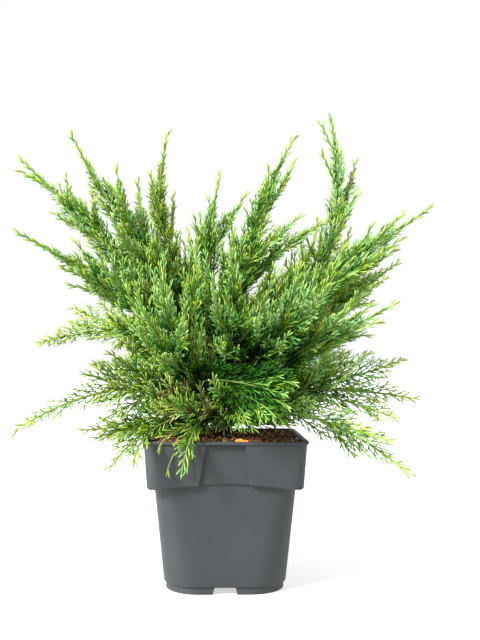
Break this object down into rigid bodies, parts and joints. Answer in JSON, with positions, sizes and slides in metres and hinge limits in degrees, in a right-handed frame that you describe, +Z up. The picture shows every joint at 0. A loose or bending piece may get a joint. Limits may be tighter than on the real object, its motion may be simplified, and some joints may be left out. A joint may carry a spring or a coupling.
{
  "type": "potted eastern red cedar shrub",
  "caption": "Young spreading eastern red cedar with arching plumes of scale-leaf sprays, growing in a square plastic nursery pot of bark soil.",
  "frame": {"origin": "middle of the pot's flat underside, where it stands", "axes": "+Z up along the plant's height, +X to the right and -Y to the front of the pictured view, with the pot's sides along X and Y"},
  "size_m": [0.3392, 0.25, 0.3766],
  "materials": {
    "pot_plastic": "matte moulded dark grey plastic",
    "potting_soil": "rough damp bark and peat",
    "bark": "thin peeling red-brown bark",
    "foliage": "waxy scale leaves, soft sheen"
  },
  "bodies": {
    "root": {"back_centre_bough": "bark", "back_centre_foliage": "foliage", "back_left_bough": "bark", "back_left_foliage": "foliage", "back_low_bough": "bark", "back_low_foliage": "foliage", "back_low_left_bough": "bark", "back_low_left_foliage": "foliage", "back_low_right_bough": "bark", "back_low_right_foliage": "foliage", "back_right_bough": "bark", "back_right_foliage": "foliage", "centre_crest_bough": "bark", "centre_crest_foliage": "foliage", "centre_leader_foliage": "foliage", "front_fan_bough": "bark", "front_fan_foliage": "foliage", "front_hanging_foliage": "foliage", "front_left_bough": "bark", "front_left_foliage": "foliage", "front_low_foliage": "foliage", "front_right_bough": "bark", "front_right_foliage": "foliage", "left_crest_bough": "bark", "left_crest_foliage": "foliage", "left_drooping_bough": "bark", "left_drooping_foliage": "foliage", "left_front_drooping_foliage": "foliage", "left_high_bough": "bark", "left_high_foliage": "foliage", "left_low_bough": "bark", "left_low_foliage": "foliage", "left_middle_bough": "bark", "left_middle_foliage": "foliage", "left_skirt_foliage": "foliage", "mid_crest_bough": "bark", "mid_crest_foliage": "foliage", "pot": "pot_plastic", "right_crest_bough": "bark", "right_crest_foliage": "foliage", "right_drooping_bough": "bark", "right_drooping_foliage": "foliage", "right_flat_bough": "bark", "right_flat_foliage": "foliage", "right_high_bough": "bark", "right_high_foliage": "foliage", "right_low_bough": "bark", "right_low_foliage": "foliage", "right_lower_bough": "bark", "right_lower_foliage": "foliage", "right_middle_bough": "bark", "right_middle_foliage": "foliage", "soil": "potting_soil", "trunk": "bark"}
  },
  "joints": []
}
